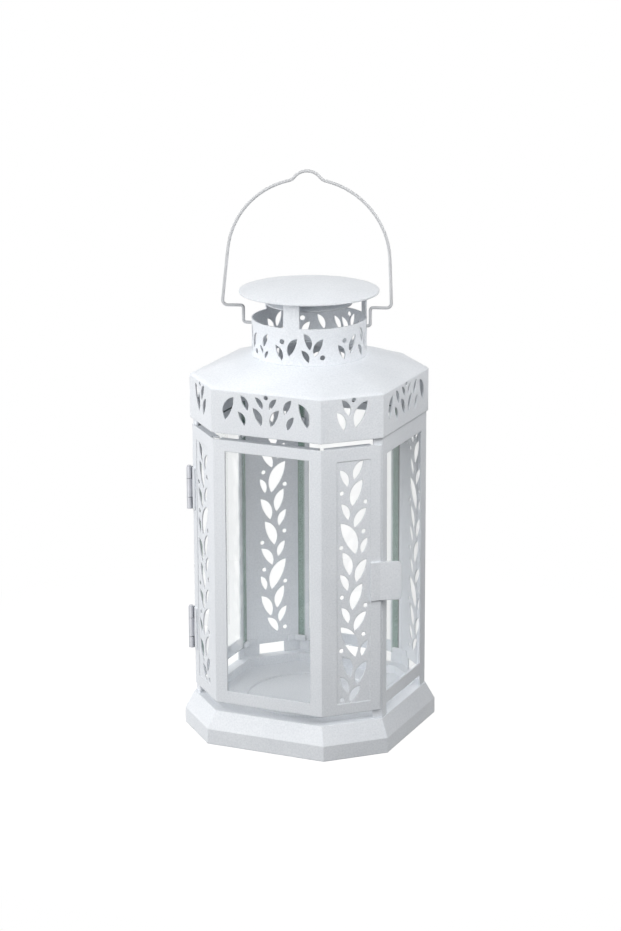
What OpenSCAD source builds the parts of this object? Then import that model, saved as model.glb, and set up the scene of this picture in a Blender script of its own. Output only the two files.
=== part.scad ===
// Candle lantern in white powder-coated sheet steel, 280 mm to the cap and 355 mm with its wire bail up.
// A square body with cut corners stands on a bevelled tray. Glass windows fill the four wide faces and
// leaf-pierced panels close the corners. The front window and both front corners are one hinged door.
// A leaf-pierced hood rises from the octagon to a round collar, whose straps carry a shallow cap.
// The origin is at the bottom centre, +Z is up and the door faces -Y. All lengths are in millimetres.

/* [Sheet] */
// Thickness of the steel sheet in the tray, body, door, hood, collar and cap
sheet_t = 1; // [0.7:0.05:1.3]

/* [Base tray] */
// How far the tray's band runs past the body's faces
base_margin = 5.7; // [4:0.1:9]
// How far each corner of the tray's band is cut back along both faces
base_corner_cut = 30.1; // [28:0.1:33]
// Height of the tray's upright band
band_h = 9.7; // [7:0.1:12]
// Height of the ledge that the body stands on
ledge_h = 20.8; // [17:0.1:26]
// How far the ledge runs past the body's outer faces
ledge_margin = 0.6; // [0.4:0.1:2]
// Width of the flat ledge
ledge_w = 7; // [6:0.1:10]
// Depth of the candle floor below the ledge
floor_drop = 5.8; // [3:0.1:8]
// Radius of the raised ring that centres the candle
ring_r = 41; // [30:0.5:45]
// Radius of the ring's bead
ring_bead_r = 1.2; // [0.8:0.1:1.4]
// Width of the turned-in hem under the band
hem_w = 4; // [2.5:0.1:6]

/* [Body] */
// Width of the body across its flats
body_w = 128; // [124:0.2:132]
// How far each corner is cut back along both faces
corner_cut = 28; // [26:0.2:30]
// Height of the vent gap under the fixed rails
vent_h = 7.3; // [5:0.1:9]
// Height of the fixed windows' lower rail
rail_h = 8; // [6:0.1:10]
// Width of the posts beside every window
post_w = 7.8; // [6:0.1:11]
// Width of the vent slot in the rear corner panels
slot_w = 17.4; // [12:0.2:20]
// Length of the flanges that the door closes on
stop_flange_l = 6.5; // [5:0.1:7.5]
// Gap between the closed door and those flanges
stop_gap = 0.3; // [0.2:0.05:0.5]
// How far the body runs up inside the hood's skirt
body_lap = 8; // [5:0.5:12]

/* [Door] */
// Height of the door
door_h = 170; // [150:1:190]
// Gap between the ledge and the door
door_gap = 5.7; // [4.5:0.1:8]
// Height of the door's lower rail
door_rail_h = 8.1; // [6:0.1:10]
// Height of the rail above every window
top_rail_h = 7.1; // [5:0.1:10]
// Gap at each upright edge of the door
door_edge_gap = 0.6; // [0.4:0.1:1]
// Depth of the door's turned-in top and bottom flanges
door_flange_w = 4.6; // [3.5:0.1:5.5]
// Notch left in those flanges at each bend
flange_notch = 3.3; // [2.5:0.1:5]

/* [Leaf pattern] */
// Depth of the pressed field around the leaves
field_depth = 0.3; // [0.15:0.05:0.4]
// Width of the pressed field
field_w = 22; // [20.5:0.1:24]
// How far the pressed field sits to the right of the panel's middle
field_offset = 1.3; // [0:0.1:2]
// Margin from the door's bottom edge to the pressed field
field_margin = 6.9; // [5:0.1:10]
// Margin from the pressed field to the door's top edge
field_top_margin = 8.2; // [5:0.1:10]
// How much higher the pattern sits on the rear corner panels
rear_field_rise = 1.8; // [0:0.1:5]
// How far the rear left panel's pattern is moved to the left
rear_field_shift = 3; // [0:0.1:4]
// Radius of the small round holes
dot_r = 1.4; // [1:0.1:1.6]

/* [Hood] */
// Gap between the door and the hood's skirt
hood_gap = 4.5; // [3:0.1:6]
// Height of the hood's upright skirt
skirt_h = 26.9; // [22:0.1:30]
// Height from the skirt to the top of the eave
eave_h = 1.6; // [1:0.1:5]
// Rise from the eave to the collar
hood_rise = 10.2; // [8:0.1:20]
// Clearance between the skirt and the body
skirt_gap = 0.05; // [0.05:0.05:0.3]
// Width of the ring that the collar stands on
collar_seat_w = 3; // [2:0.1:5]

/* [Collar and cap] */
// Outer radius of the collar
collar_r = 35.65; // [34:0.05:38]
// Height of the collar
collar_h = 23; // [20:0.5:28]
// Turn of the collar on the hood, in degrees
collar_turn = 5.8; // [0:0.1:15]
// Radius of the round holes in the collar
collar_dot_r = 1.6; // [1:0.1:2]
// Width of each strap
strap_w = 10.4; // [8:0.1:14]
// Height of the straps from the collar to the cap
strap_h = 17.1; // [14:0.1:22]
// Length of the strap ends under the cap
strap_end_l = 7; // [5:0.5:9]
// Radius of the cap
cap_r = 43.3; // [41:0.1:46]
// Rise of the cap's dome
cap_dome = 4.2; // [2:0.1:5]
// Radius of the heat deflector
deflector_r = 26.5; // [22:0.5:29]
// Radius of the deflector's flat centre
deflector_flat_r = 8; // [6:0.5:12]
// Drop of the deflector's rim below the cap's rim
deflector_drop = 8.6; // [6:0.1:11]
// Thickness of the deflector
deflector_t = 0.8; // [0.6:0.1:1]
// Gap between parts that a weld closes
weld_gap = 0.05; // [0.02:0.01:0.1]

/* [Bail] */
// Diameter of the wire
wire_d = 2; // [1.6:0.1:2.2]
// Distance of the pivot holes below the collar's rim
pivot_drop = 4.7; // [4:0.1:6]
// Clearance round the wire in the collar, on the radius
pivot_clear = 0.08; // [0.05:0.01:0.1]
// Gap between the collar and the wire's upright
bail_standoff = 3; // [2.5:0.1:4]
// Height from the pivot to the outward run of the wire
bail_offset_h = 11.2; // [9:0.1:12.5]
// Radius of the arch
arch_r = 50.6; // [49:0.1:57]
// Height of the arch's centre above the pivot
arch_h = 40.3; // [34:0.1:50]
// Splay of the arch's right leg, in degrees
right_splay = 1.5; // [0:0.5:4]
// Splay of the arch's left leg, in degrees
left_splay = 7; // [4:0.5:9]
// How far the bail's two ends stand to the left of the arch's middle
bail_slide = 1.6; // [0:0.1:2.1]
// Turn of the bail's pivots on the hood, in degrees
bail_turn = 15; // [0:0.5:20]
// Rise of the hump that a hook sits under
hump_rise = 4.8; // [4:0.1:8]
// Spread of the hump from the arch's middle, in degrees
hump_angle = 13; // [9:0.5:14]
// Inside bend radius of the wire at the hump
hump_bend_r = 5.8; // [3:0.1:8]
// Small bend radius of the wire
small_bend_r = 1.8; // [1.5:0.1:2.2]
// Large bend radius of the wire
large_bend_r = 3; // [2.5:0.1:4]
// Length of the hook inside the collar
hook_l = 3; // [2:0.1:4]
// Sideways lean of the hand-bent arch, in degrees
arch_lean = 0.6; // [0:0.1:2]

/* [Glass] */
// Distance from each pane's side edges to the bends beside it
pane_margin = 1.5; // [1.2:0.1:4]
// Thickness of each pane
pane_t = 2; // [1.8:0.1:2.2]
// Play between a pane and the sheet
pane_gap = 0.1; // [0.05:0.05:0.2]
// Play of a pane between its upper and lower stops
pane_play = 1.2; // [0.5:0.1:3]
// Thickness of the pane clips
clip_t = 0.6; // [0.5:0.1:0.8]
// Height of the pane clips
clip_h = 9; // [7:0.5:12]
// Height of the fixed windows' lower clips
low_clip_h = 4; // [3:0.5:9]
// Reach of the clips over the panes
clip_reach = 3.5; // [2:0.1:4.5]
// Depth of the clips' feet along the corner panels
clip_foot = 4; // [3:0.1:5]
// Distance of the clips from the rails' outer edges
clip_inset = 9; // [4:0.5:20]

/* [Hinges] */
// Height of each hinge
hinge_h = 27; // [22:0.5:34]
// Radius of the hinge barrels
barrel_r = 1.8; // [1.6:0.05:2.1]
// Radius of the hinge pins
pin_r = 0.9; // [0.8:0.05:1]
// Clearance round the pins in the moving knuckles, on the radius
pin_clear = 0.06; // [0.03:0.01:0.1]
// Height of the middle knuckle
knuckle_h = 12; // [9:0.5:14]
// Gap between knuckles
knuckle_gap = 0.3; // [0.2:0.05:0.4]
// Gap between the barrels and the body's faces
barrel_gap = 0.15; // [0.1:0.05:0.3]
// Width of each hinge leaf from the hinge's axis
leaf_w = 6; // [5:0.1:7]
// Thickness of the hinge leaves
leaf_t = 0.8; // [0.6:0.05:1]
// Height of the upper hinge's middle above the door's bottom edge
upper_hinge_h = 128.8; // [100:0.2:140]
// Height of the lower hinge's middle above the door's bottom edge
lower_hinge_h = 37; // [30:0.2:60]
// Height of the pin heads
pin_head_h = 0.8; // [0.5:0.1:1.2]

/* [Pull tab and catch] */
// Height of the pull tab
tab_h = 24.6; // [18:0.2:32]
// Height of the tab's middle above the door's bottom edge
tab_mid_h = 83.8; // [60:0.2:110]
// Width of the tab's foot on the door
tab_foot_w = 6.4; // [5:0.1:7]
// Distance of the tab's bend from the door's corner line
tab_bend_inset = 1.4; // [1:0.1:2]
// Length of the tab past its bend
tab_l = 13.4; // [10:0.1:18]
// Outward bend of the tab, in degrees
tab_bend = 12; // [0:1:25]
// Thickness of the tab
tab_t = 1; // [0.8:0.1:1.2]
// Radius of the tab's free corners
tab_corner_r = 2.6; // [1.5:0.1:4]
// Height of the catch magnet
magnet_h = 18; // [12:0.5:24]
// Width of the catch magnet
magnet_w = 3.2; // [2.5:0.1:3.3]
// Depth of the catch magnet
magnet_d = 3; // [2:0.1:4]
// Gap between the magnet and the closed door
magnet_gap = 0.2; // [0.1:0.05:0.3]

/* [Hidden] */

// Overrun of every cut
cut_over = 1;
root2 = sqrt(2);
// Loss of corner cut for each unit that an octagon shrinks by
cut_loss = 2 - root2;

// Heights, stacked from the tray to the cap
door_z0 = ledge_h + door_gap;
door_z1 = door_z0 + door_h;
rail_z0 = ledge_h + vent_h;
fixed_window_z0 = rail_z0 + rail_h;
door_window_z0 = door_z0 + door_rail_h;
window_z1 = door_z1 - top_rail_h;
skirt_z0 = door_z1 + hood_gap;
skirt_z1 = skirt_z0 + skirt_h;
eave_z1 = skirt_z1 + eave_h;
body_z1 = skirt_z0 + body_lap;
collar_z0 = eave_z1 + hood_rise;
collar_z1 = collar_z0 + collar_h;
cap_z = collar_z1 + strap_h;
pivot_z = collar_z1 - pivot_drop;

// Plan sizes
body_a = body_w / 2;
face_w = body_w - 2 * corner_cut;
window_w = face_w - 2 * post_w;
pane_w = face_w - 2 * pane_margin;
panel_w = corner_cut * root2;
base_a = body_a + base_margin;
skirt_a = body_a + skirt_gap + sheet_t;
skirt_cut = corner_cut + cut_loss * (skirt_a - body_a);
ledge_a = body_a + ledge_margin;
well_a = ledge_a - ledge_w;
stop_d = sheet_t + stop_gap;

// Corner panels: each row is a leaf's place across the panel, its place down one repeat,
// its length as a share of the panel's width, its lean to the right in degrees
repeat_share = 0.389;
vine_leaf_shares = [
    [-0.13, 0.16, 0.30, -25],
    [0.10, 0.31, 0.45, 22],
    [-0.11, 0.48, 0.29, -24],
    [0.15, 0.55, 0.36, 33],
    [-0.06, 0.74, 0.57, -26],
    [0.22, 0.82, 0.26, 20],
    [-0.09, 0.98, 0.40, -18],
    [0.17, 1.06, 0.40, 25]];
vine_dot_shares = [[-0.16, 0.30], [0.23, 0.40], [0.20, 0.68], [-0.17, 0.82]];
// The leaves at the pattern's two ends, with their places down the whole field
vine_end_shares = [[0.12, 0.04, 0.33, 26], [0.06, 0.965, 0.31, 35]];

// Hood skirt: places across half a face and up the skirt, length as a share of the skirt's
// height, lean towards the face's edge in degrees
skirt_leaf_shares = [
    [0.67, 0.60, 0.58, -21],
    [0.40, 0.755, 0.38, 26],
    [0.45, 0.39, 0.35, 25],
    [0.13, 0.79, 0.31, 33],
    [0.165, 0.465, 0.445, 26]];
skirt_dot_share = 0.93;
corner_leaf_shares = [
    [-0.11, 0.775, 0.42, -25],
    [0.15, 0.60, 0.67, 25],
    [-0.19, 0.475, 0.455, -23]];
corner_dot_shares = [0.02, 0.945];

// Collar: the pattern starts at these angles from the front, in degrees. A row has an angle from
// the start, place up the collar and length as shares of its height, lean to the right in degrees
collar_start_angles = [0, 65, 131, 215, 282];
collar_leaf_shares = [
    [-8, 0.32, 0.45, -26],
    [7.5, 0.49, 0.54, 25],
    [21.5, 0.66, 0.46, -18],
    [19.5, 0.26, 0.38, -29],
    [33.5, 0.49, 0.52, 25]];
collar_dot_shares = [[-4, 0.63], [37, 0.22]];
// Leaves and a dot that fill the collar's seams, with their angles from the front
collar_seam_shares = [
    [-31.5, 0.32, 0.25, -35],
    [-24.5, 0.58, 0.42, 26],
    [-23.5, 0.20, 0.26, 32],
    [174, 0.53, 0.45, 25],
    [192, 0.53, 0.45, 24]];
collar_seam_dot_shares = [158, 0.84];

// A leaf bulges more on the side it leans away from
leaf_full_share = 0.27;
leaf_lean_share = 0.10;
// Hood slope: places from the eave to the collar, then heights
hood_slope_shares = [[0, 0], [0.03, 0.095], [0.08, 0.15], [0.2, 0.26], [0.35, 0.42],
    [0.5, 0.595], [0.62, 0.72], [0.78, 0.84], [0.9, 0.925], [1, 1]];
ring_sides = 96;
// How far the hood's loft stands back from the skirt's faces
loft_step = 0.04;
// Steps of the swept wire, and its radius as a share of the true pins' radius
bend_steps = 6;
arch_steps = 16;
wire_sides = 14;
swept_share = 0.985;
white = "#eceef0";
steel = "#8d9092";
smooth = 48;

// Octagon of half width a whose corners are cut by c
function oct_points(a, c) = [[-a, c - a], [c - a, -a], [a - c, -a], [a, c - a],
    [a, a - c], [a - c, a], [c - a, a], [-a, a - c]];

module oct_block(a, c, z0, z1) {
    translate([0, 0, z0])
        linear_extrude(z1 - z0)
            polygon(oct_points(a, c));
}

// Octagon block whose half width changes from bottom to top
module oct_bevel(a0, c0, z0, a1, c1, z1, h) {
    hull() {
        oct_block(a0, c0, z0, z0 + h);
        oct_block(a1, c1, z1 - h, z1);
    }
}

function cut_at(a) = corner_cut + cut_loss * (a - body_a);
function base_cut_at(a) = base_corner_cut + cut_loss * (a - base_a);

// Distance from the axis to face number n, counted in eighths of a turn from the front
function face_dist(n, a, c) = n % 2 == 0 ? a : (2 * a - c) / root2;

// Puts children on a face of the body: x to the right, y up, z out of the face
module on_face(n, a = body_a, c = corner_cut) {
    rotate([0, 0, 45 * n])
        translate([0, -face_dist(n, a, c), 0])
            rotate([90, 0, 0])
                children();
}

// Leaf outline from two arcs, standing on its point, full side to the left
module leaf_outline(l) {
    half = l / 2;
    full = l * leaf_full_share;
    lean = l * leaf_lean_share;
    full_r = (full * full + half * half) / (2 * full);
    lean_r = (lean * lean + half * half) / (2 * lean);
    intersection() {
        translate([full_r - full, 0])
            circle(full_r, $fn = smooth);
        translate([lean - lean_r, 0])
            circle(lean_r, $fn = smooth);
    }
}

// One leaf hole through the face it is put on
module leaf_hole(x, y, l, lean, depth) {
    translate([x, y, -depth])
        linear_extrude(depth + cut_over)
            rotate(-lean)
                mirror([lean < 0 ? 1 : 0, 0])
                    leaf_outline(l);
}

module dot_hole(x, y, depth, r = dot_r) {
    translate([x, y, -depth])
        cylinder(r = r, h = depth + cut_over, $fn = smooth);
}

// Vine of leaves and dots on a corner panel
module vine_holes() {
    field_h = door_h - field_margin - field_top_margin;
    top = door_z1 - field_top_margin;
    pitch = door_h * repeat_share;
    depth = sheet_t + cut_over;
    for (k = [0 : floor(door_h / pitch)]) {
        for (s = vine_leaf_shares) {
            y = top - (k + s[1]) * pitch;
            if (y - s[2] * panel_w / 2 > top - field_h) {
                leaf_hole(s[0] * panel_w, y, s[2] * panel_w, s[3], depth);
            }
        }
        for (s = vine_dot_shares) {
            y = top - (k + s[1]) * pitch;
            if (y - 2 * dot_r > top - field_h) {
                dot_hole(s[0] * panel_w, y, depth);
            }
        }
    }
    for (s = vine_end_shares) {
        leaf_hole(s[0] * panel_w, top - s[1] * field_h, s[2] * panel_w, s[3], depth);
    }
}

// Shallow pressed field that the vine is cut in
module field_cut() {
    translate([field_offset - field_w / 2, door_z0 + field_margin, -field_depth])
        cube([field_w, door_h - field_margin - field_top_margin, field_depth + cut_over]);
}

// The field with its vine, mirrored if asked
module vine_field(mirrored) {
    mirror([mirrored ? 1 : 0, 0, 0]) {
        field_cut();
        vine_holes();
    }
}

module window_cut(w, z0, z1) {
    translate([-w / 2, z0, -sheet_t - cut_over])
        cube([w, z1 - z0, sheet_t + 2 * cut_over]);
}

module mirror_x() {
    children();
    mirror([1, 0, 0])
        children();
}

// Pressed tray: band, bevel, ledge, sunk candle floor and a hem under the band
module base_tray() {
    floor_z = ledge_h - floor_drop;
    bevel_run = base_a - ledge_a;
    bevel_rise = ledge_h - band_h;
    slope_t = sheet_t * norm([bevel_run, bevel_rise]) / bevel_rise;
    in_a = base_a - sheet_t;
    top_a = ledge_a - slope_t + sheet_t * bevel_run / bevel_rise;
    inner_top = ledge_h - sheet_t;
    color(white) {
        difference() {
            union() {
                oct_block(base_a, base_corner_cut, 0, band_h);
                oct_bevel(base_a, base_corner_cut, band_h, ledge_a, cut_at(ledge_a), ledge_h, sheet_t / 100);
            }
            difference() {
                union() {
                    oct_block(in_a, base_cut_at(in_a), sheet_t, band_h);
                    oct_bevel(in_a, base_cut_at(in_a), band_h, top_a, cut_at(top_a), inner_top, sheet_t / 100);
                }
                oct_block(well_a + sheet_t, cut_at(well_a + sheet_t), floor_z - sheet_t, ledge_h);
            }
            oct_block(base_a - hem_w, base_cut_at(base_a - hem_w), -cut_over, 2 * sheet_t);
            oct_block(well_a, cut_at(well_a), floor_z, ledge_h + cut_over);
        }
        translate([0, 0, floor_z])
            rotate_extrude($fn = smooth)
                translate([ring_r, 0])
                    intersection() {
                        circle(ring_bead_r, $fn = smooth);
                        translate([-ring_bead_r, 0])
                            square([2 * ring_bead_r, ring_bead_r]);
                    }
    }
}

// Folded sheet of the five fixed faces, with a flange behind each upright edge of the door
module body_plan() {
    a = body_a;
    c = corner_cut;
    ai = a - sheet_t;
    ci = cut_at(ai);
    bend = [a, c - a + stop_d * root2];
    end = bend - stop_flange_l / root2 * [1, 1];
    end_in = end + sheet_t / root2 * [-1, 1];
    bend_in = [ai, c - a - sheet_t + (stop_d + sheet_t) * root2];
    right = [end, bend, [a, a - c], [a - c, a]];
    right_in = [[ai - ci, ai], [ai, ai - ci], bend_in, end_in];
    polygon(concat(right, [for (i = [3 : -1 : 0]) [-right[i][0], right[i][1]]],
        [for (i = [3 : -1 : 0]) [-right_in[i][0], right_in[i][1]]], right_in));
}

module body_shell() {
    color(white)
        difference() {
            translate([0, 0, ledge_h])
                linear_extrude(body_z1 - ledge_h)
                    body_plan();
            for (n = [2, 4, 6]) {
                on_face(n)
                    window_cut(window_w, fixed_window_z0, window_z1);
                on_face(n)
                    window_cut(window_w, ledge_h - cut_over, rail_z0);
            }
            for (n = [3, 5]) {
                on_face(n)
                    window_cut(slot_w, ledge_h - cut_over, rail_z0);
                on_face(n)
                    translate([n == 5 ? -rear_field_shift : 0, rear_field_rise, 0])
                        vine_field(n == 3);
            }
        }
}

// Plan of the door's three faces between depths d0 and d1, its ends trimmed square
module door_plan(d0, d1, trim) {
    a0 = body_a - d0;
    c0 = cut_at(a0);
    a1 = body_a - d1;
    c1 = cut_at(a1);
    end = [body_a - trim / root2, corner_cut - body_a - trim / root2];
    end0 = end + d0 / root2 * [-1, 1];
    end1 = end + d1 / root2 * [-1, 1];
    polygon([[-end0[0], end0[1]], [c0 - a0, -a0], [a0 - c0, -a0], end0,
        end1, [a1 - c1, -a1], [c1 - a1, -a1], [-end1[0], end1[1]]]);
}

// Turned-in flange at one end of the door, notched at the bends
module door_flange(z) {
    reach = sheet_t + door_flange_w;
    trim = stop_flange_l - stop_gap;
    wide = face_w / 2 - flange_notch;
    translate([0, 0, z])
        difference() {
            linear_extrude(sheet_t)
                door_plan(sheet_t / 2, reach, trim);
            mirror_x()
                translate([wide, -body_a, 0])
                    translate([0, sheet_t, -cut_over])
                        cube([2 * flange_notch, reach, sheet_t + 2 * cut_over]);
        }
}

module door_shell() {
    color(white)
        difference() {
            union() {
                translate([0, 0, door_z0])
                    linear_extrude(door_h)
                        door_plan(0, sheet_t, door_edge_gap);
                door_flange(door_z0);
                door_flange(door_z1 - sheet_t);
            }
            on_face(0)
                window_cut(window_w, door_window_z0, window_z1);
            for (n = [-1, 1])
                on_face(n)
                    vine_field(n < 0);
        }
}

// Ring k of the hood's loft, set in from the outside by d. The first ring laps into the skirt
function hood_ring(k, d) = let (
    s = hood_slope_shares[max(k - 1, 0)],
    a = skirt_a - d - loft_step,
    c = cut_at(a),
    r = collar_r - d,
    z = k == 0 ? skirt_z1 - sheet_t / 2 : skirt_z1 + (collar_z0 - skirt_z1) * s[1] - (k == 1 ? 0 : d),
    v = oct_points(a, c),
    n = ring_sides / 8)
    [for (i = [0 : 7]) for (j = [0 : n - 1]) let (
        p = v[i] + (v[(i + 1) % 8] - v[i]) * j / n,
        q = r * p / norm(p),
        m = s[0])
        [p[0] + (q[0] - p[0]) * m, p[1] + (q[1] - p[1]) * m, z]];

// Closed loft through all the rings, its two ends fanned from their middles
module hood_loft(d) {
    steps = len(hood_slope_shares) + 1;
    n = ring_sides;
    points = [for (k = [0 : steps - 1]) for (p = hood_ring(k, d)) p];
    low = len(points);
    ends = [[0, 0, points[0][2]], [0, 0, points[low - 1][2]]];
    sides = [for (k = [0 : steps - 2]) for (i = [0 : n - 1]) let (
        a = k * n + i,
        b = k * n + (i + 1) % n)
        each [[a, a + n, b], [b, a + n, b + n]]];
    bottom = [for (i = [0 : n - 1]) [low, i, (i + 1) % n]];
    top = [for (i = [0 : n - 1]) [low + 1, low - n + (i + 1) % n, low - n + i]];
    polyhedron(concat(points, ends), concat(bottom, sides, top));
}

// Hood: a pierced skirt under a loft from the octagon to the collar's circle
module roof_hood() {
    in_a = skirt_a - sheet_t;
    depth = sheet_t + cut_over;
    half = (skirt_a - skirt_cut);
    wide = skirt_cut * root2;
    color(white) {
        difference() {
            union() {
                oct_block(skirt_a, skirt_cut, skirt_z0, skirt_z1);
                hood_loft(0);
            }
            oct_block(in_a, cut_at(in_a), skirt_z0 - cut_over, skirt_z1);
            hood_loft(sheet_t);
            translate([0, 0, eave_z1])
                cylinder(r = collar_r - collar_seat_w, h = hood_rise + cut_over, $fn = smooth);
            for (n = [0, 2, 4, 6])
                on_face(n, skirt_a, skirt_cut) {
                    for (s = skirt_leaf_shares) {
                        y = skirt_z0 + s[1] * skirt_h;
                        leaf_hole(s[0] * half, y, s[2] * skirt_h, s[3], depth);
                        leaf_hole(-s[0] * half, y, s[2] * skirt_h, -s[3], depth);
                    }
                    dot_hole(0, skirt_z0 + skirt_dot_share * skirt_h, depth);
                }
            for (n = [1, 3, 5, 7])
                on_face(n, skirt_a, skirt_cut)
                    mirror([n == 3 || n == 7 ? 1 : 0, 0, 0]) {
                        for (s = corner_leaf_shares)
                            leaf_hole(s[0] * wide, skirt_z0 + s[1] * skirt_h, s[2] * skirt_h, s[3], depth);
                        dot_hole(corner_dot_shares[0] * wide, skirt_z0 + corner_dot_shares[1] * skirt_h,
                            depth);
                    }
        }
    }
}

// Puts children on the collar at an angle from the front: x along it, y up, z outwards
module on_collar(angle, z) {
    rotate([0, 0, angle])
        translate([0, -collar_r, z])
            rotate([90, 0, 0])
                children();
}

module collar_holes() {
    depth = sheet_t + cut_over;
    for (start = collar_start_angles) {
        for (s = collar_leaf_shares)
            on_collar(start + s[0], collar_z0 + s[1] * collar_h)
                leaf_hole(0, 0, s[2] * collar_h, s[3], depth);
        for (s = collar_dot_shares)
            on_collar(start + s[0], collar_z0 + s[1] * collar_h)
                dot_hole(0, 0, depth, collar_dot_r);
    }
    for (s = collar_seam_shares)
        on_collar(s[0], collar_z0 + s[1] * collar_h)
            leaf_hole(0, 0, s[2] * collar_h, s[3], depth);
    on_collar(collar_seam_dot_shares[0], collar_z0 + collar_seam_dot_shares[1] * collar_h)
        dot_hole(0, 0, depth, collar_dot_r);
}

// Radius of the sphere that the cap's top follows, and its height at a radius
cap_sphere_r = (cap_r * cap_r + cap_dome * cap_dome) / (2 * cap_dome);
function dome_z(r) = cap_z + sqrt(cap_sphere_r * cap_sphere_r - r * r) - (cap_sphere_r - cap_dome);

// Ring sector centred on an angle from the front
module ring_sector(angle, half_angle) {
    rotate([0, 0, angle - 90 - half_angle])
        rotate_extrude(angle = 2 * half_angle, $fn = smooth)
            children();
}

// Collar rolled in one piece with its three straps, whose ends turn in under the cap
module collar() {
    in_r = collar_r - sheet_t;
    half_angle = asin(strap_w / 2 / collar_r);
    end_r = in_r - strap_end_l;
    under = sheet_t + weld_gap;
    color(white)
        difference() {
            rotate_extrude($fn = smooth)
                polygon([[in_r, collar_z0], [collar_r, collar_z0],
                    [collar_r, dome_z(collar_r) - under],
                    [end_r, dome_z(end_r) - under],
                    [end_r, dome_z(end_r) - under - sheet_t],
                    [in_r, dome_z(in_r) - under - sheet_t]]);
            for (k = [0 : 2])
                ring_sector(collar_turn + 60 + 120 * k, 60 - half_angle)
                    translate([end_r - cut_over, collar_z1])
                        square([strap_end_l + sheet_t + 2 * cut_over, strap_h + cap_dome + cut_over]);
            collar_holes();
            translate([0, 0, pivot_z])
                rotate([0, 90, bail_turn])
                    cylinder(r = wire_d / 2 + pivot_clear, h = 2 * (collar_r + cut_over),
                        center = true, $fn = smooth);
        }
}

// Cap: a shallow dome of even thickness
module cap() {
    color(white)
        translate([0, 0, cap_z - (cap_sphere_r - cap_dome)])
            rotate_extrude($fn = 2 * smooth)
                intersection() {
                    difference() {
                        circle(cap_sphere_r, $fn = 4 * smooth);
                        circle(cap_sphere_r - sheet_t, $fn = 4 * smooth);
                    }
                    square([cap_r, cap_sphere_r + cut_over]);
                }
}

// Conical heat deflector under the cap's middle
module heat_deflector() {
    top = dome_z(deflector_flat_r) - sheet_t - weld_gap;
    rim = cap_z - deflector_drop;
    color("#d9dbdd")
        rotate_extrude($fn = 2 * smooth)
            polygon([[0, top - deflector_t], [deflector_flat_r, top - deflector_t],
                [deflector_r, rim], [deflector_r, rim + deflector_t],
                [deflector_flat_r, top], [0, top]]);
}

// Direction from p to q, as a unit vector
function dir(p, q) = (q - p) / norm(q - p);

// Points of an arc round c from angle a0 to a1, in equal steps
function arc_points(c, r, a0, a1, steps) = [for (i = [0 : steps]) let (a = a0 + (a1 - a0) * i / steps)
    c + r * [cos(a), sin(a)]];

// Points of the bend of radius r that rounds the corner q between p and w
function bend_points(p, q, w, r) = let (
    u = dir(p, q),
    v = dir(q, w),
    turn = atan2(u[0] * v[1] - u[1] * v[0], u * v),
    start = q - r * tan(abs(turn) / 2) * u,
    side = [-u[1], u[0]] * sign(turn),
    from = atan2(-side[1], -side[0]))
    arc_points(start + r * side, r, from, from + turn, bend_steps);

// Point of the arch's frame, leaned sideways, on the side s: +1 right, -1 left
function leaned(p, s) = let (a = s * arch_lean)
    [p[0] * cos(a) - p[1] * sin(a), p[0] * sin(a) + p[1] * cos(a)];

hook_x = collar_r - sheet_t - wire_d - small_bend_r;
foot_x = collar_r + bail_standoff + wire_d / 2;
// Splay of the leg on the side s
function splay(s) = s > 0 ? right_splay : left_splay;

// The wire on the side s, from its hook inside the collar to the large bend below the arch
function foot_points(s) = let (
    leg = arch_r * [cos(splay(s)), sin(splay(s))] + [0, arch_h],
    corner = [leg[0] + (leg[1] - bail_offset_h) * tan(splay(s)), bail_offset_h],
    inner = leaned([0, bail_offset_h], s),
    hook = hook_x - s * bail_slide,
    foot = foot_x - s * bail_slide,
    // Where the outward run meets the upright
    meet = [foot, inner[1] + (foot - inner[0]) * tan(s * arch_lean)],
    out = leaned(corner, s))
    concat([[hook, -small_bend_r - hook_l]],
        bend_points([hook, -small_bend_r - hook_l], [hook, 0], [foot, 0], small_bend_r),
        bend_points([hook, 0], [foot, 0], meet, small_bend_r),
        bend_points([foot, 0], meet, out, small_bend_r),
        bend_points(meet, out, leaned(leg, s), large_bend_r));

// The arch with its hump, from right to left. Fillets touch the arch from outside and a
// crown joins them
function arch_points() = let (
    fillet = (arch_r + hump_bend_r) * [sin(hump_angle), cos(hump_angle)],
    top = arch_r + hump_rise,
    gap = top + hump_bend_r - fillet[1],
    crown_y = (top + hump_bend_r + fillet[1] - fillet[0] * fillet[0] / gap) / 2,
    crown_a = atan2(fillet[1] - crown_y, fillet[0]),
    right = concat(arc_points([0, 0], arch_r, right_splay, 90 - hump_angle, arch_steps),
        arc_points(fillet, hump_bend_r, 270 - hump_angle, 180 + crown_a, bend_steps)),
    left = concat(arc_points([0, 0], arch_r, left_splay, 90 - hump_angle, arch_steps),
        arc_points(fillet, hump_bend_r, 270 - hump_angle, 180 + crown_a, bend_steps)),
    crown = arc_points([0, crown_y], top - crown_y, crown_a, 180 - crown_a, 2 * bend_steps),
    all = concat(right, [for (i = [1 : 2 * bend_steps - 1]) crown[i]],
        [for (i = [len(left) - 1 : -1 : 0]) [-left[i][0], left[i][1]]]))
    [for (p = all) leaned(p + [0, arch_h], 1)];

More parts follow.
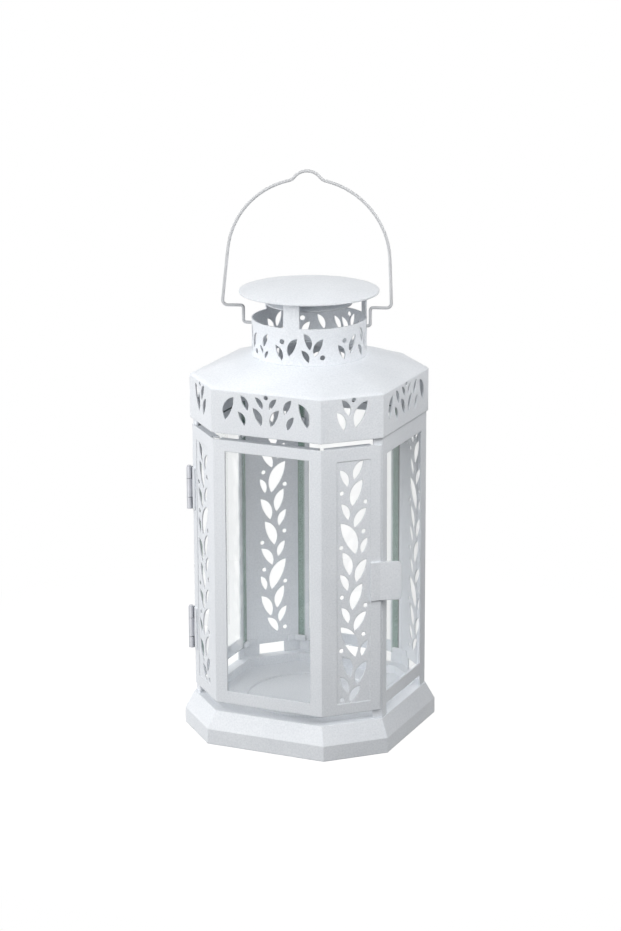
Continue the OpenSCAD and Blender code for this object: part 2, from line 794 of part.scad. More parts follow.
// Wire swept along a row of points in the plane of x and z
module swept_wire(points, r) {
    // Points that repeat are dropped
    p = [for (i = [0 : len(points) - 1]) if (i == 0 || norm(points[i] - points[max(i - 1, 0)]) > r / 100)
        points[i]];
    n = len(p);
    m = wire_sides;
    t = [for (i = [0 : n - 1]) i == 0 ? dir(p[0], p[1]) : i == n - 1 ? dir(p[n - 2], p[n - 1]) :
        dir([0, 0], dir(p[i - 1], p[i]) + dir(p[i], p[i + 1]))];
    skin = [for (i = [0 : n - 1]) for (j = [0 : m - 1]) let (a = 360 * j / m)
        [p[i][0] - r * cos(a) * t[i][1], r * sin(a), p[i][1] + r * cos(a) * t[i][0]]];
    ends = [[p[0][0], 0, p[0][1]], [p[n - 1][0], 0, p[n - 1][1]]];
    k = n * m;
    sides = [for (i = [0 : n - 2]) for (j = [0 : m - 1]) let (
        a = i * m + j,
        b = i * m + (j + 1) % m)
        each [[a, b, a + m], [b, b + m, a + m]]];
    first = [for (j = [0 : m - 1]) [k, (j + 1) % m, j]];
    last = [for (j = [0 : m - 1]) [k + 1, k - m + j, k - m + (j + 1) % m]];
    polyhedron(concat(skin, ends), concat(sides, first, last));
}

// Bail: one wire swept from hook to hook, with true round pins where it turns in the collar
module bail() {
    right = foot_points(1);
    left = foot_points(-1);
    pin_l = foot_x - hook_x - 2 * small_bend_r;
    color(steel)
        translate([0, 0, pivot_z])
            rotate([0, 0, bail_turn]) {
                swept_wire(concat(right, arch_points(),
                    [for (i = [len(left) - 1 : -1 : 0]) [-left[i][0], left[i][1]]]), wire_d / 2 * swept_share);
                translate([-bail_slide, 0, 0])
                    mirror_x()
                        translate([hook_x + small_bend_r, 0, 0])
                            rotate([0, 90, 0])
                                cylinder(d = wire_d, h = pin_l, $fn = smooth);
            }
}

// Glass pane on face n, slid sideways by the given distance
module pane(n, z0, slide) {
    color([0.75, 0.86, 0.82, 0.35])
        on_face(n)
            translate([slide - pane_w / 2, z0, -sheet_t - pane_gap - pane_t])
                cube([pane_w, pane_h, pane_t]);
}

// The panes are one size, and stand on the clips' shelves or the door's lower flange
pane_z0 = rail_z0 + clip_t;
door_pane_z0 = door_z0 + sheet_t;
pane_h = door_z1 - sheet_t - pane_play - pane_z0;
// Sideways room of a pane beside a stop flange, less its play
side_room = face_w / 2 + sheet_t + pane_gap - (stop_d + sheet_t) * root2 - pane_gap;
side_slide = pane_w / 2 - side_room;

module glass_front() {
    pane(0, door_pane_z0, 0);
}

module glass_back() {
    pane(4, pane_z0, side_slide);
}

// The side panes sit back from the door's flanges
module glass_right() {
    pane(2, pane_z0, side_slide);
}

module glass_left() {
    pane(6, pane_z0, -side_slide);
}

// Clip on the right of a window: a foot on the neighbouring sheet and a lip over the pane.
// edge_d is how far that sheet lies inside the body's own corner panel
module clip(edge_d, h, shelf) {
    w0 = sheet_t + pane_gap + pane_t + pane_gap;
    inner = face_w / 2 - (edge_d + sheet_t) * root2;
    skew = clip_t * root2;
    lip = pane_w / 2 - side_slide - clip_reach;
    linear_extrude(h)
        polygon([[lip, -w0], [inner + w0, -w0], [inner + w0 + clip_foot, -w0 - clip_foot],
            [inner + w0 + clip_foot - skew, -w0 - clip_foot],
            [inner + w0 + clip_t - skew, -w0 - clip_t], [lip, -w0 - clip_t]]);
    if (shelf)
        translate([lip, -w0 - clip_t, 0])
            cube([clip_reach, pane_t + pane_gap + clip_t, clip_t]);
}

// Two clips at each side of the window on face n, the lower ones with a shelf if asked
module clip_set(n, right_d, left_d, z0, z1, shelf) {
    color(white)
        rotate([0, 0, 45 * n])
            translate([0, -body_a, 0])
                rotate([0, 0, 0])
                    mirror([0, 1, 0]) {
                        for (side = [0, 1])
                            mirror([side, 0, 0]) {
                                translate([0, 0, z0])
                                    clip(side == 0 ? right_d : left_d, shelf ? low_clip_h : clip_h, shelf);
                                translate([0, 0, z1 - clip_h])
                                    clip(side == 0 ? right_d : left_d, clip_h, false);
                            }
                    }
}

module clips_front() {
    clip_set(0, 0, 0, door_z0 + clip_inset, door_z1 - clip_inset, false);
}

module clips_back() {
    clip_set(4, 0, 0, rail_z0, window_z1 - clip_inset, true);
}

module clips_right() {
    clip_set(2, 0, stop_d, rail_z0, window_z1 - clip_inset, true);
}

module clips_left() {
    clip_set(6, stop_d, 0, rail_z0, window_z1 - clip_inset, true);
}

// The hinge axis stands outside the body's left front corner, as far from both faces
barrel_off = barrel_r + barrel_gap;
hinge_side = barrel_off * tan(22.5);
hinge_x = -body_a - barrel_off;
hinge_y = corner_cut - body_a - hinge_side;

// Puts children at the hinge axis: the body's face runs to +x and faces -y
module at_hinge(face_angle, z) {
    translate([hinge_x, hinge_y, z])
        rotate([0, 0, face_angle])
            children();
}

// Flat leaf on a face beside the axis, from reach r0 to the leaf's edge
module hinge_plate(r0, z0, z1, side) {
    mirror([0, side, 0])
        translate([r0, barrel_off - leaf_t, z0])
            cube([leaf_w - r0, leaf_t, z1 - z0]);
}

module knuckle(z0, z1, bore_r) {
    translate([0, 0, z0])
        difference() {
            cylinder(r = barrel_r, h = z1 - z0, $fn = smooth);
            translate([0, 0, -cut_over])
                cylinder(r = bore_r, h = z1 - z0 + 2 * cut_over, $fn = smooth);
        }
}

// Keeps the plates out of the knuckles' bores
module bore_cut(bore_r) {
    translate([0, 0, -hinge_h])
        cylinder(r = bore_r, h = 2 * hinge_h, $fn = smooth);
}

// Frame leaf on the left window face, with the two end knuckles
module frame_leaf(z) {
    half = hinge_h / 2;
    mid = knuckle_h / 2;
    bore_r = pin_r + pin_clear / 2;
    color(steel)
        at_hinge(90, z)
            difference() {
                union() {
                    hinge_plate(barrel_r + knuckle_gap, -half, half, 1);
                    hinge_plate(pin_r, mid + knuckle_gap, half, 1);
                    hinge_plate(pin_r, -half, -mid - knuckle_gap, 1);
                    knuckle(mid + knuckle_gap, half, bore_r);
                    knuckle(-half, -mid - knuckle_gap, bore_r);
                }
                bore_cut(bore_r);
            }
}

// Door leaf on the left corner panel, with the middle knuckle
module door_leaf(z) {
    half = hinge_h / 2;
    mid = knuckle_h / 2;
    bore_r = pin_r + pin_clear;
    color(steel)
        at_hinge(-45, z)
            difference() {
                union() {
                    hinge_plate(barrel_r + knuckle_gap, -half, half, 0);
                    hinge_plate(pin_r, -mid, mid, 0);
                    knuckle(-mid, mid, bore_r);
                }
                bore_cut(bore_r);
            }
}

// Pin through one hinge, with a head that rests on the top knuckle
module hinge_pin(z) {
    color(steel)
        at_hinge(0, z) {
            translate([0, 0, -hinge_h / 2])
                cylinder(r = pin_r, h = hinge_h, $fn = smooth);
            translate([0, 0, hinge_h / 2])
                cylinder(r = (barrel_r + pin_r) / 2, h = pin_head_h, $fn = smooth);
        }
}

module upper_frame_leaf() {
    frame_leaf(door_z0 + upper_hinge_h);
}

module upper_door_leaf() {
    door_leaf(door_z0 + upper_hinge_h);
}

module upper_pin() {
    hinge_pin(door_z0 + upper_hinge_h);
}

module lower_frame_leaf() {
    frame_leaf(door_z0 + lower_hinge_h);
}

module lower_door_leaf() {
    door_leaf(door_z0 + lower_hinge_h);
}

module lower_pin() {
    hinge_pin(door_z0 + lower_hinge_h);
}

// Pull tab: a foot welded on the door's right corner panel and a wing bent off it
module pull_tab() {
    bend_x = panel_w / 2 - tab_bend_inset;
    mid = door_z0 + tab_mid_h;
    r = tab_corner_r;
    color(white)
        on_face(1)
            translate([bend_x, mid, weld_gap]) {
                translate([-tab_foot_w, -tab_h / 2, 0])
                    cube([tab_foot_w, tab_h, tab_t]);
                intersection() {
                    rotate([0, -tab_bend, 0])
                        translate([-tab_t, -tab_h / 2, 0])
                            linear_extrude(tab_t)
                                union() {
                                    square([tab_l + tab_t - r, tab_h]);
                                    translate([0, r])
                                        square([tab_l + tab_t, tab_h - 2 * r]);
                                    translate([tab_l + tab_t - r, r])
                                        circle(r, $fn = smooth);
                                    translate([tab_l + tab_t - r, tab_h - r])
                                        circle(r, $fn = smooth);
                                }
                    translate([-tab_t, -tab_h, 0])
                        cube([2 * tab_l, 2 * tab_h, 2 * tab_l]);
                }
            }
}

// Catch: a bar magnet behind the door's right edge, in a folded bracket on the stop flange
magnet_x = panel_w / 2 + stop_d - stop_flange_l;

module catch_magnet() {
    color("#5b5d60")
        on_face(1)
            translate([magnet_x - magnet_w, door_z0 + tab_mid_h - magnet_h / 2,
                -sheet_t - magnet_gap - magnet_d])
                cube([magnet_w - weld_gap, magnet_h, magnet_d]);
}

module catch_bracket() {
    low = door_z0 + tab_mid_h - magnet_h / 2;
    back = sheet_t + magnet_gap + magnet_d + weld_gap;
    flange_in = stop_d + sheet_t + weld_gap;
    foot = stop_flange_l / 2;
    color(white)
        on_face(1) {
            translate([magnet_x - magnet_w, low, -back - clip_t])
                cube([magnet_w + clip_t, magnet_h, clip_t]);
            translate([magnet_x, low, -back - clip_t])
                cube([clip_t, magnet_h, back + clip_t - flange_in]);
            translate([magnet_x, low, -flange_in - clip_t])
                cube([foot, magnet_h, clip_t]);
        }
}

base_tray();
body_shell();
roof_hood();
collar();
cap();
heat_deflector();
bail();
door_shell();
pull_tab();
glass_front();
glass_left();
glass_back();
glass_right();
clips_front();
clips_left();
clips_back();
clips_right();
upper_frame_leaf();
upper_door_leaf();
upper_pin();
lower_frame_leaf();
lower_door_leaf();
lower_pin();
catch_magnet();
catch_bracket();
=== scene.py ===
# %% [markdown]
# # A white candle lantern
# The real object is a small lantern of folded and pressed steel sheet. It has glass windows, corner
# panels pierced with leaves, a hinged front, a collar under a flat cap and a wire bail. The packed
# CAD model already holds every piece at its real size, so this lesson is about surfaces, light and
# camera. Lengths are in metres, +Z is up and the door faces -Y.

# %% Load the frame
import math

import bmesh
import bpy
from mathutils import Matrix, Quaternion, Vector


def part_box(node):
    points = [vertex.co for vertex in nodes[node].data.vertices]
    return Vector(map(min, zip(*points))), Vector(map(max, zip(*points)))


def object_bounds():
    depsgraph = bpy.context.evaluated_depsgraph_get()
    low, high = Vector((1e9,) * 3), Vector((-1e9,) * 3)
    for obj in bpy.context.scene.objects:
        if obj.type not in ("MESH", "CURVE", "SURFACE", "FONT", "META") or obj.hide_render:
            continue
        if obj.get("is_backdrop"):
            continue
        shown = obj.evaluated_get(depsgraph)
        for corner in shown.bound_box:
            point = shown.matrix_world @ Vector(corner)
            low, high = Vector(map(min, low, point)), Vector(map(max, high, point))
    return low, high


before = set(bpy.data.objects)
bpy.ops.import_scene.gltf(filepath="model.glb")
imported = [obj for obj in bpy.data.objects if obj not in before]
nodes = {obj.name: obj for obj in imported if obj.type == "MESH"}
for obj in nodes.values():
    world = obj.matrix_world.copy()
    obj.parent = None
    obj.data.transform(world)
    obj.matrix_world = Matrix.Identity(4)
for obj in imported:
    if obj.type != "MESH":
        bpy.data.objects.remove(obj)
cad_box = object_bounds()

MM = 0.001
print("CAD nodes:", len(nodes))
print("CAD box:", [[round(v, 4) for v in corner] for corner in cad_box])

# %% [markdown]
# ## Colours and nodes
# A colour picker shows sRGB, but a shader wants linear light. One function turns a hex value into
# the linear colour, so every colour below can be read as the eye sees it. A second small function
# adds a shader node, sets it up and plugs its inputs, so a material reads as a short recipe.

# %% Two helpers for materials
def colour(hex_code):
    """Linear RGBA of an sRGB hex value."""
    parts = [int(hex_code[i:i + 2], 16) / 255 for i in (1, 3, 5)]
    return [p / 12.92 if p <= 0.04045 else ((p + 0.055) / 1.055) ** 2.4 for p in parts] + [1.0]


def add(tree, kind, inputs=None, **settings):
    """Adds a node. Inputs are values, or a node (its first output), or (node, output name)."""
    node = tree.nodes.new(kind)
    for key, value in settings.items():
        setattr(node, key, value)
    for key, value in (inputs or {}).items():
        if isinstance(value, bpy.types.Node):
            tree.links.new(value.outputs[0], node.inputs[key])
        elif isinstance(value, tuple) and isinstance(value[0], bpy.types.Node):
            tree.links.new(value[0].outputs[value[1]], node.inputs[key])
        else:
            node.inputs[key].default_value = value
    return node


def new_material(name):
    """An empty node material and its tree."""
    material = bpy.data.materials.new(name)
    material.use_nodes = True
    material.node_tree.nodes.clear()
    return material, material.node_tree


def finish_material(material, tree, shader):
    add(tree, "ShaderNodeOutputMaterial", {"Surface": shader})
    print("material:", material.name, "with", len(tree.nodes), "nodes")
    return material


print("a mid grey, #808080, is", round(colour("#808080")[0], 3), "in linear light")

# %% [markdown]
# ## White powder coat
# The sheet is sprayed with dry epoxy-polyester powder and baked. The powder melts into a thick,
# even skin with a fine grain, called a fine texture, so the eye sees soft, slightly sparkling light
# and no sharp reflection. The skin also rounds every cut and fold. A bevel node rounds the shading
# at the edges, a noise gives the grain, and a slow noise gives the faint change of tone that an
# oven-baked coat has. Polyester resin has an IOR of about 1.5 and is not a metal.

# %% Make the powder coat
GRAIN = 1.0 * MM  # real grain is about 0.3 mm, drawn coarser so that it shows in the render
EDGE_RADIUS = 0.75 * MM
TONE_PATCH = 45 * MM
ROUGHNESS_SPREAD = 0.06


def powder_shader(tree, base_hex, shade_hex, roughness, speck_share, grain_height, edge_radius=0):
    """A coat of one colour with a slow change of tone, fine grain and, if asked, soft edges."""
    place = add(tree, "ShaderNodeTexCoord")
    slow = add(tree, "ShaderNodeTexNoise", {"Vector": (place, "Object"), "Scale": 1 / TONE_PATCH,
                                            "Detail": 3.0, "Roughness": 0.55})
    grain = add(tree, "ShaderNodeTexNoise", {"Vector": (place, "Object"), "Scale": 1 / GRAIN,
                                             "Detail": 2.0, "Roughness": 0.6})
    tone = add(tree, "ShaderNodeMapRange", {"Value": slow, "From Min": 0.35, "From Max": 0.65,
                                            "To Min": 0.0, "To Max": 0.35})
    speck = add(tree, "ShaderNodeMapRange", {"Value": grain, "From Min": 0.3, "From Max": 0.75,
                                             "To Min": 0.0, "To Max": speck_share})
    amount = add(tree, "ShaderNodeMath", {0: tone, 1: speck}, operation="ADD")
    base = add(tree, "ShaderNodeMix", {"Factor": amount, "A": colour(base_hex),
                                       "B": colour(shade_hex)}, data_type="RGBA")
    rough = add(tree, "ShaderNodeMapRange", {
        "Value": grain, "From Min": 0.3, "From Max": 0.7,
        "To Min": roughness - ROUGHNESS_SPREAD, "To Max": roughness + ROUGHNESS_SPREAD})
    bump = add(tree, "ShaderNodeBump", {"Strength": 0.5, "Distance": grain_height,
                                        "Height": grain})
    if edge_radius:
        soft_edge = add(tree, "ShaderNodeBevel", {"Radius": edge_radius}, samples=6)
        tree.links.new(soft_edge.outputs[0], bump.inputs["Normal"])
    return add(tree, "ShaderNodeBsdfPrincipled", {
        "Base Color": (base, "Result"), "Roughness": rough, "Metallic": 0.0, "IOR": 1.5,
        "Normal": bump})


def white_powder(tree):
    return powder_shader(tree, "#f0f3f7", "#dfe3e8", roughness=0.5, speck_share=0.8,
                         grain_height=0.03 * MM, edge_radius=EDGE_RADIUS)


material, tree = new_material("powder_coat_white")
white_coat = finish_material(material, tree, white_powder(tree))

# %% [markdown]
# ## Zinc-plated hinges
# The two hinges are pressed strip, zinc plated in a barrel, so their skin is a dull grey metal
# with many fine scratches. Zinc is a metal, so metallic is 1 and the colour is that of its mirror
# light. A stretched noise gives the rolling lines of the strip. The leaves are welded on and
# sprayed with the sheet, while the barrels are masked, so the finish changes with the distance
# from the hinge's axis.

# %% Make the zinc, and the masked hinge leaves
LINE_WIDTH = 0.25 * MM
HINGE_AXIS = (-65.95 * MM, -36.81 * MM)
MASK_RADIUS = 2.3 * MM
CLOUD_SIZE = 6 * MM
STRIP_EDGE_RADIUS = 0.25 * MM
SCRATCH_DEPTH = 0.02 * MM


def zinc_shader(tree, base_hex, dark_hex, roughness, stretch):
    """Plated strip: cloudy zinc with rolling lines drawn out along the stretch."""
    place = add(tree, "ShaderNodeTexCoord")
    squeeze = add(tree, "ShaderNodeMapping", {"Vector": (place, "Object"), "Scale": stretch})
    lines = add(tree, "ShaderNodeTexNoise", {"Vector": squeeze, "Scale": 1 / LINE_WIDTH,
                                             "Detail": 4.0, "Roughness": 0.6})
    cloud = add(tree, "ShaderNodeTexNoise", {"Vector": (place, "Object"), "Scale": 1 / CLOUD_SIZE,
                                             "Detail": 2.0})
    base = add(tree, "ShaderNodeMix", {"Factor": cloud, "A": colour(base_hex),
                                       "B": colour(dark_hex)}, data_type="RGBA")
    rough = add(tree, "ShaderNodeMapRange", {"Value": lines, "From Min": 0.3, "From Max": 0.7,
                                             "To Min": roughness - 0.08, "To Max": roughness + 0.1})
    soft_edge = add(tree, "ShaderNodeBevel", {"Radius": STRIP_EDGE_RADIUS}, samples=6)
    bump = add(tree, "ShaderNodeBump", {"Strength": 0.35, "Distance": SCRATCH_DEPTH,
                                        "Height": lines, "Normal": soft_edge})
    return add(tree, "ShaderNodeBsdfPrincipled", {
        "Base Color": (base, "Result"), "Roughness": rough, "Metallic": 1.0, "Normal": bump})


def hinge_zinc(tree):
    return zinc_shader(tree, "#c5c6cb", "#abadb2", roughness=0.48, stretch=(1.0, 1.0, 0.15))


material, tree = new_material("zinc_plate")
zinc = finish_material(material, tree, hinge_zinc(tree))

material, tree = new_material("zinc_barrel_white_leaf")
place = add(tree, "ShaderNodeTexCoord")
from_axis = add(tree, "ShaderNodeVectorMath", {0: (place, "Object"),
                                               1: (*HINGE_AXIS, 0.0)}, operation="SUBTRACT")
flat = add(tree, "ShaderNodeVectorMath", {0: from_axis, 1: (1.0, 1.0, 0.0)}, operation="MULTIPLY")
reach = add(tree, "ShaderNodeVectorMath", {0: flat}, operation="LENGTH")
sprayed = add(tree, "ShaderNodeMath", {0: (reach, "Value"), 1: MASK_RADIUS},
              operation="GREATER_THAN")
masked_leaf = finish_material(material, tree, add(tree, "ShaderNodeMixShader", {
    0: sprayed, 1: hinge_zinc(tree), 2: white_powder(tree)}))

# %% [markdown]
# ## Painted wire
# The bail is bent from 2 mm steel wire. It could be bare or coated, and the photograph is too
# coarse there to tell. It shows an even light grey, so the wire gets a thin enamel of that tone,
# smoother and a little glossier than the powder on the sheet.

# %% Make the wire's finish
material, tree = new_material("enamel_light_grey")
wire_coat = finish_material(material, tree, powder_shader(
    tree, "#cacbcd", "#bec0c3", roughness=0.42, speck_share=0.35, grain_height=0.002 * MM))

# %% [markdown]
# ## Window glass
# The panes are 2 mm float glass. Seen square on, float glass is clear with an IOR of 1.52, but a
# cut edge is seen through centimetres of glass, so its iron content turns it green. The last
# millimetres of each face by its upright edges carry a strip of painted shade, a darker green-grey.
# The rim is told apart by the direction of the surface in the pane's own space, and the painted
# strip by the distance from the pane's upright edges. A ray tracer takes a pane for a solid wall
# when it asks whether a lamp reaches the inside, so a transparent shader stands in for those rays,
# and for the light that the white walls exchange.

# %% Make the glass of each pane
# The strip tint is painted shade: it darkens each face along its upright edges.
RIM_TINT, PAINTED_STRIP_TINT, CLEAR = "#0f261d", "#93ac9f", "#feffff"
STRIP_START, STRIP_END = 3.5 * MM, 4.8 * MM  # fully tinted up to the first, clear from the second


def float_glass(pane, thin, wide):
    """Glass for one pane: thin and wide are the axes, X or Y, across it and along it."""
    low, high = (corner["XY".index(wide)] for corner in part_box(pane))
    material, tree = new_material("float_" + pane)
    place = add(tree, "ShaderNodeTexCoord")
    facing = add(tree, "ShaderNodeSeparateXYZ", {0: (place, "Normal")})
    across = add(tree, "ShaderNodeMath", {0: (facing, thin)}, operation="ABSOLUTE")
    rim = add(tree, "ShaderNodeMath", {0: across, 1: 0.5}, operation="LESS_THAN")
    where = add(tree, "ShaderNodeSeparateXYZ", {0: (place, "Object")})
    from_middle = add(tree, "ShaderNodeMath", {0: (where, wide), 1: (low + high) / 2},
                      operation="SUBTRACT")
    from_middle = add(tree, "ShaderNodeMath", {0: from_middle}, operation="ABSOLUTE")
    half = (high - low) / 2
    # Painted shade: a darker green-grey strip along the pane's upright edges.
    strip = add(tree, "ShaderNodeMapRange", {"Value": from_middle, "From Min": half - STRIP_END,
                                             "From Max": half - STRIP_START})
    face = add(tree, "ShaderNodeMix", {"Factor": strip, "A": colour(CLEAR),
                                       "B": colour(PAINTED_STRIP_TINT)}, data_type="RGBA")
    tint = add(tree, "ShaderNodeMix", {"Factor": rim, "A": (face, "Result"),
                                       "B": colour(RIM_TINT)}, data_type="RGBA")
    shader = add(tree, "ShaderNodeBsdfPrincipled", {
        "Base Color": (tint, "Result"), "Roughness": 0.0, "IOR": 1.52, "Transmission Weight": 1.0})
    path = add(tree, "ShaderNodeLightPath")
    light = add(tree, "ShaderNodeMath", {0: (path, "Is Shadow Ray"), 1: (path, "Is Diffuse Ray")},
                operation="MAXIMUM")
    passed = add(tree, "ShaderNodeBsdfTransparent", {"Color": colour("#ffffff")})
    return finish_material(material, tree,
                           add(tree, "ShaderNodeMixShader", {0: light, 1: shader, 2: passed}))


glass = {pane: float_glass(pane, *axes) for pane, axes in {
    "glass_front": "YX", "glass_back": "YX", "glass_left": "XY", "glass_right": "XY"}.items()}

# %% [markdown]
# ## Ferrite magnet
# The catch is a small pressed and fired ferrite bar: a dark grey ceramic, dull and slightly
# speckled. It sits behind the door's edge and only shows when the door is open.

# %% Make the ferrite
FERRITE_SPECK = 0.5 * MM


def fired_ferrite():
    material, tree = new_material("ferrite_dark")
    place = add(tree, "ShaderNodeTexCoord")
    speck = add(tree, "ShaderNodeTexNoise", {"Vector": (place, "Object"),
                                             "Scale": 1 / FERRITE_SPECK, "Detail": 3.0})
    base = add(tree, "ShaderNodeMix", {"Factor": speck, "A": colour("#3a3a3c"),
                                       "B": colour("#525356")}, data_type="RGBA")
    bump = add(tree, "ShaderNodeBump", {"Strength": 0.3, "Distance": 0.03 * MM, "Height": speck})
    shader = add(tree, "ShaderNodeBsdfPrincipled", {
        "Base Color": (base, "Result"), "Roughness": 0.6, "Metallic": 0.0, "IOR": 1.5,
        "Normal": bump})
    return finish_material(material, tree, shader)


ferrite = fired_ferrite()

# %% [markdown]
# ## Smooth the wire and the hood
# Each CAD node keeps its mesh. The round collar, cap and pins come in smooth, but the swept wire
# and the hood's loft come in as flat facets. A small group of geometry nodes welds those facets and
# smooths each edge that bends by less than a set angle, so the real folds stay crisp.

# %% Make the smoothing and put it on two pieces
WELD = 0.001 * MM
SMOOTH_UNDER = {"bail": 60, "roof_hood": 30}


def smooth_under(degrees):
    tree = bpy.data.node_groups.new(f"smooth_under_{degrees}", "GeometryNodeTree")
    tree.interface.new_socket("Mesh", in_out="INPUT", socket_type="NodeSocketGeometry")
    tree.interface.new_socket("Mesh", in_out="OUTPUT", socket_type="NodeSocketGeometry")
    mesh = add(tree, "NodeGroupInput")
    welded = add(tree, "GeometryNodeMergeByDistance", {"Geometry": mesh, "Distance": WELD})
    bend = add(tree, "GeometryNodeInputMeshEdgeAngle")
    fold = add(tree, "FunctionNodeCompare", {"A": bend, "B": math.radians(degrees)},
               operation="GREATER_THAN")
    smooth = add(tree, "GeometryNodeSetMeshNormal", {
        "Mesh": welded, "Remove Custom": True, "Edge Sharpness": fold}, mode="SHARPNESS")
    add(tree, "NodeGroupOutput", {"Mesh": smooth})
    return tree


for name, degrees in SMOOTH_UNDER.items():
    modifier = nodes[name].modifiers.new("smooth", "NODES")
    modifier.node_group = smooth_under(degrees)
    print("smoothed:", name, "under", degrees, "degrees")

# %% [markdown]
# ## Dress the CAD pieces
# On the real lantern nearly every piece is steel sheet under the same white coat. The finishes
# could be given slot by slot, as the record lists them, but it has the hinge leaves and the wire as
# bare metal, and here they carry a coat. So a short table names the pieces that are not plain white
# powder, and every other node gets the powder coat.

# %% Give every node its finish
FINISH = {
    **glass,
    "bail": wire_coat, "catch_magnet": ferrite,
    "upper_frame_leaf": masked_leaf, "upper_door_leaf": masked_leaf, "upper_pin": zinc,
    "lower_frame_leaf": masked_leaf, "lower_door_leaf": masked_leaf, "lower_pin": zinc,
}

for name, node in nodes.items():
    node.data.materials.clear()
    node.data.materials.append(FINISH.get(name, white_coat))
print("dressed:", len(nodes), "nodes")

# %% [markdown]
# ## Floor
# The photograph's background is plain white. A floor could be made white by lighting it more, but
# that light would reach the lantern too. So a large grey disc is the floor. Near the lantern it
# shows its matt colour, with the soft shadow, on top of a glow that is nearly white. Only the
# camera, reflections and the view through glass see the glow. Further out the disc fades to plain
# white, as a studio sweep does.

# %% Make the floor
FLOOR_RADIUS = 4.0
GLOW_NEAR = 0.93
FADE_START, FADE_END = 0.14, 0.34
FLOOR_GREY = "#707070"
FLOOR_DROP = 0.1 * MM  # keeps the floor just clear of the tray's rim


def floor_material():
    material, tree = new_material("studio_floor_white")
    place = add(tree, "ShaderNodeTexCoord")
    distance = add(tree, "ShaderNodeVectorMath", {0: (place, "Object")}, operation="LENGTH")
    fade = add(tree, "ShaderNodeMapRange", {"Value": (distance, "Value"), "From Min": FADE_START,
                                            "From Max": FADE_END}, interpolation_type="SMOOTHSTEP")
    matt = add(tree, "ShaderNodeBsdfDiffuse", {"Color": colour(FLOOR_GREY)})
    glow = add(tree, "ShaderNodeEmission", {"Color": colour("#ffffff"), "Strength": GLOW_NEAR})
    white = add(tree, "ShaderNodeEmission", {"Color": colour("#ffffff"), "Strength": 1.0})
    near = add(tree, "ShaderNodeAddShader", {0: matt, 1: glow})
    shown = add(tree, "ShaderNodeMixShader", {0: fade, 1: near, 2: white})
    path = add(tree, "ShaderNodeLightPath")
    seen = add(tree, "ShaderNodeMath", {0: (path, "Is Camera Ray"), 1: (path, "Is Glossy Ray")},
               operation="MAXIMUM")
    seen = add(tree, "ShaderNodeMath", {0: seen, 1: (path, "Is Transmission Ray")},
               operation="MAXIMUM")
    return finish_material(material, tree,
                           add(tree, "ShaderNodeMixShader", {0: seen, 1: matt, 2: shown}))


floor_mesh = bpy.data.meshes.new("studio_floor")
shape = bmesh.new()
bmesh.ops.create_circle(shape, cap_ends=True, segments=64, radius=FLOOR_RADIUS)
shape.to_mesh(floor_mesh)
shape.free()
floor = bpy.data.objects.new("studio_floor", floor_mesh)
bpy.context.scene.collection.objects.link(floor)
floor.data.materials.append(floor_material())
floor.location.z = -FLOOR_DROP
floor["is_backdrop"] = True
print("floor radius:", FLOOR_RADIUS, "m")

# %% [markdown]
# ## Dark card
# A clear pane mirrors what stands beside it, and the flatter one looks along it the more it
# mirrors. In an all-white room the right window would wash out. Photographers stand a dark card
# beside glass, just out of view, so that it keeps its depth. Only reflections see this card: the
# camera, the glass's clear view and the lamps' light pass it by.

# %% Make the card behind the right window
CARD_WIDTH, CARD_HEIGHT = 80 * MM, 200 * MM
CARD_PLACE = Vector((95, 71, 100.5)) * MM
CARD_TURN = math.radians(-24)
CARD_GREY = "#3c403f"

material, tree = new_material("card_matt_dark")
dark = finish_material(material, tree, add(tree, "ShaderNodeBsdfDiffuse",
                                           {"Color": colour(CARD_GREY)}))
card_mesh = bpy.data.meshes.new("dark_card")
shape = bmesh.new()
bmesh.ops.create_grid(shape, size=0.5)
bmesh.ops.scale(shape, verts=shape.verts, vec=(CARD_WIDTH, CARD_HEIGHT, 1))
shape.to_mesh(card_mesh)
shape.free()
card = bpy.data.objects.new("dark_card", card_mesh)
bpy.context.scene.collection.objects.link(card)
card.data.materials.append(dark)
card.location = CARD_PLACE
card.rotation_euler = (math.radians(90), 0, CARD_TURN)
card.visible_camera = card.visible_diffuse = card.visible_transmission = card.visible_shadow = False
card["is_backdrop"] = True
print("card:", round(CARD_WIDTH / MM), "by", round(CARD_HEIGHT / MM), "mm")

# %% [markdown]
# ## Light
# The photograph has soft light from the front left, so the front left corner and the slopes are
# brightest and the right side is in light shade. Two small lamps stand closer on the right. Light
# falls off quickly near a lamp, which gives the right side its slow fade from top to bottom. Each
# lamp is a square, given by its direction, distance, size and power. The world adds a little fill
# and shows as plain white to the camera, in reflections and through the glass.

# %% Set up the lamps and the world
LAMPS = {
    # name: (azimuth and elevation in degrees, distance and size in metres, power in watts)
    "front_low": (-20, 15, 1.4, 0.9, 11.2),
    "side_left": (-75, 25, 1.2, 0.9, 6.9),
    "back_left": (-115, 45, 1.2, 0.9, 3.5),
    "near_front_right": (50, 40, 0.65, 0.4, 1.75),
    "near_right": (90, 55, 0.65, 0.4, 0.6),
    "back_right": (110, 25, 1.2, 0.9, 4.3),
}
LAMP_TARGET = Vector((0, 0, 0.15))
WORLD_FILL = 0.03


def direction(azimuth, elevation):
    """Unit vector from the object; azimuth 0 is the front, -Y, and 90 is +X."""
    a, e = math.radians(azimuth), math.radians(elevation)
    return Vector((math.sin(a) * math.cos(e), -math.cos(a) * math.cos(e), math.sin(e)))


for name, (azimuth, elevation, distance, size, power) in LAMPS.items():
    light = bpy.data.lights.new(name, "AREA")
    light.size = size
    light.energy = power
    lamp = bpy.data.objects.new(name, light)
    lamp.location = LAMP_TARGET + distance * direction(azimuth, elevation)
    lamp.rotation_euler = direction(azimuth, elevation).to_track_quat("Z", "Y").to_euler()
    bpy.context.scene.collection.objects.link(lamp)
    lamp.visible_camera = False
    print("lamp:", name, power, "W")

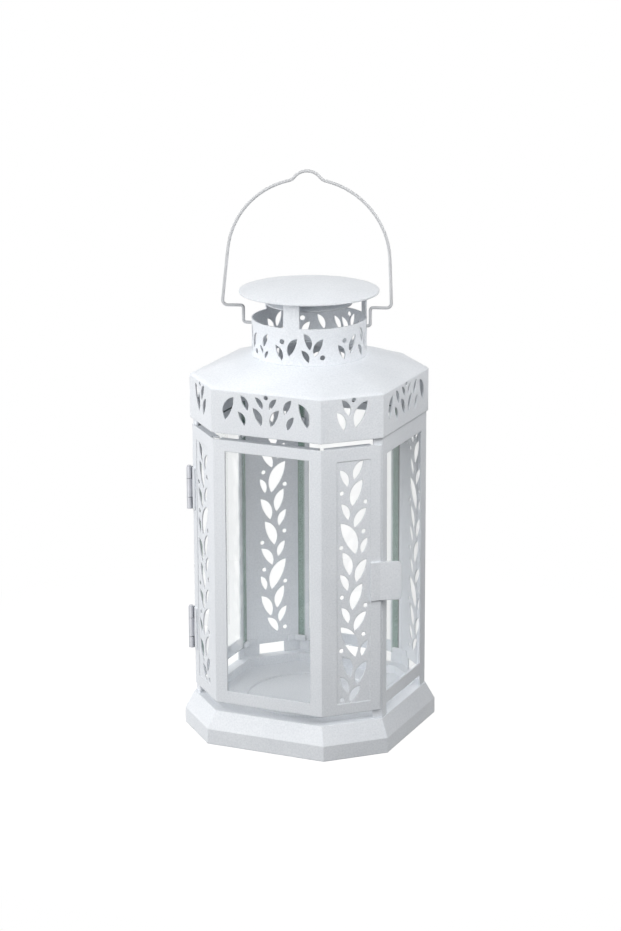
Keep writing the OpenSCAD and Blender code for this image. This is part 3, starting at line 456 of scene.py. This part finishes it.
world = bpy.data.worlds.new("white_studio")
bpy.context.scene.world = world
world.use_nodes = True
tree = world.node_tree
tree.nodes.clear()
path = add(tree, "ShaderNodeLightPath")
seen = add(tree, "ShaderNodeMath", {0: (path, "Is Camera Ray"), 1: (path, "Is Glossy Ray")},
           operation="MAXIMUM")
seen = add(tree, "ShaderNodeMath", {0: seen, 1: (path, "Is Transmission Ray")},
           operation="MAXIMUM")
strength = add(tree, "ShaderNodeMapRange", {"Value": seen, "To Min": WORLD_FILL, "To Max": 1.0})
sky = add(tree, "ShaderNodeBackground", {"Color": colour("#ffffff"), "Strength": strength})
add(tree, "ShaderNodeOutputWorld", {"Surface": sky})
print("world fill:", WORLD_FILL)

# %% [markdown]
# ## Camera
# The camera was fitted until the model's outline fell on that of the photograph. It stands 1.87 m
# away, to the right of the front and a little above, and the long lens gives a flat look. The
# distance follows the lantern's size, which is an estimate.

# %% Place the camera
CAMERA_AZIMUTH = 23.909
CAMERA_ELEVATION = 15.627
CAMERA_DISTANCE = 1.866565
CAMERA_ROLL = -0.199
CAMERA_TARGET = Vector((0.421, 0.182, 167.208)) * MM
IMAGE_HEIGHT = 931
FOCAL_PIXELS = 2979.552
SENSOR = 36.0

camera_data = bpy.data.cameras.new("photo_camera")
camera_data.sensor_fit = "VERTICAL"
camera_data.sensor_height = SENSOR
camera_data.lens = FOCAL_PIXELS * SENSOR / IMAGE_HEIGHT
camera_data.clip_end = 50
camera = bpy.data.objects.new("photo_camera", camera_data)
toward = direction(CAMERA_AZIMUTH, CAMERA_ELEVATION)
camera.location = CAMERA_TARGET + CAMERA_DISTANCE * toward
camera.rotation_mode = "QUATERNION"
roll = Quaternion((0, 0, 1), math.radians(CAMERA_ROLL))
camera.rotation_quaternion = toward.to_track_quat("Z", "Y") @ roll
bpy.context.scene.collection.objects.link(camera)
bpy.context.scene.camera = camera
print("camera at", [round(v, 3) for v in camera.location], "lens", round(camera_data.lens, 1), "mm")

# %% [markdown]
# ## Colour and size
# The Standard view shows each colour as it was written. The two boxes are kept to compare the
# dressed lantern with the CAD model.

# %% Finish
bpy.context.scene.view_settings.view_transform = "Standard"
size = {"cad": [list(corner) for corner in cad_box],
        "visual": [list(corner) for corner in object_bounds()]}
print("size:", size)
